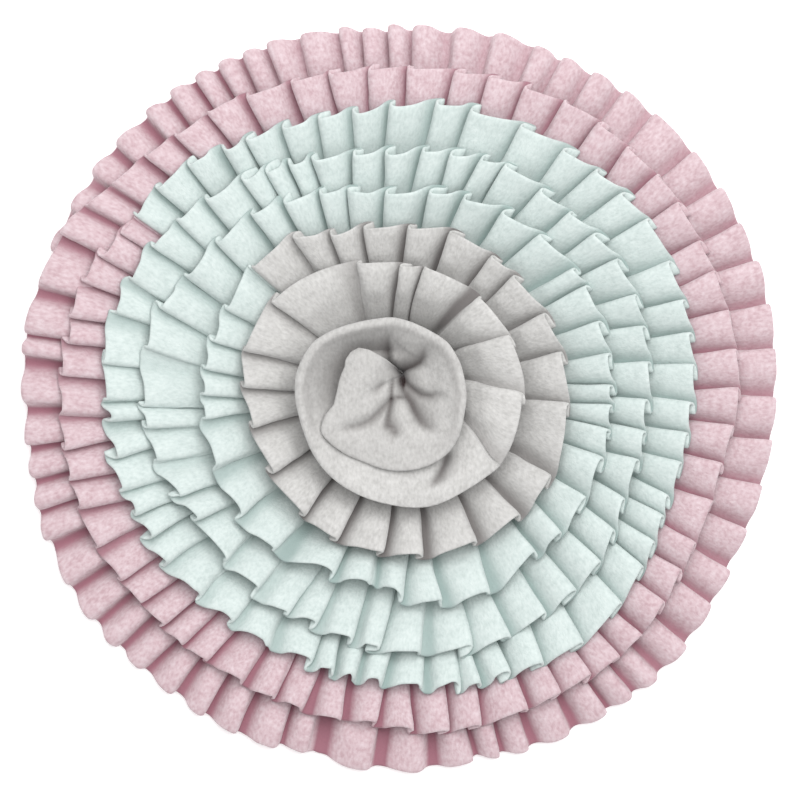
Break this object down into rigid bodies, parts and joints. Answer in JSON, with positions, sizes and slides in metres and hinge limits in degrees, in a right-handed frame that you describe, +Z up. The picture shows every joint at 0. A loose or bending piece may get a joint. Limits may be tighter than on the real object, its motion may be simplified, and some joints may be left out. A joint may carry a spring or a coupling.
{
  "type": "snuffle mat",
  "caption": "Round fleece snuffle mat: pleated strips sewn in a spiral on a ground cloth, with a smooth cup and drawn-in folds in the middle.",
  "frame": {"origin": "centre of the mat's flat underside", "axes": "+Z up through the mat, +Y away from the front edge, +X to the right"},
  "size_m": [0.3797, 0.3748, 0.0437],
  "materials": {
    "ground_cloth": "plain matt cloth",
    "pink_fleece": "matt dusty-pink fleece with a short pile",
    "mint_fleece": "matt pale-mint fleece with a short pile",
    "grey_fleece": "matt warm-grey fleece with a short pile"
  },
  "bodies": {
    "root": {"ground_cloth": "ground_cloth", "pink_strip": "pink_fleece", "mint_strip": "mint_fleece", "grey_strip": "grey_fleece"}
  },
  "joints": []
}
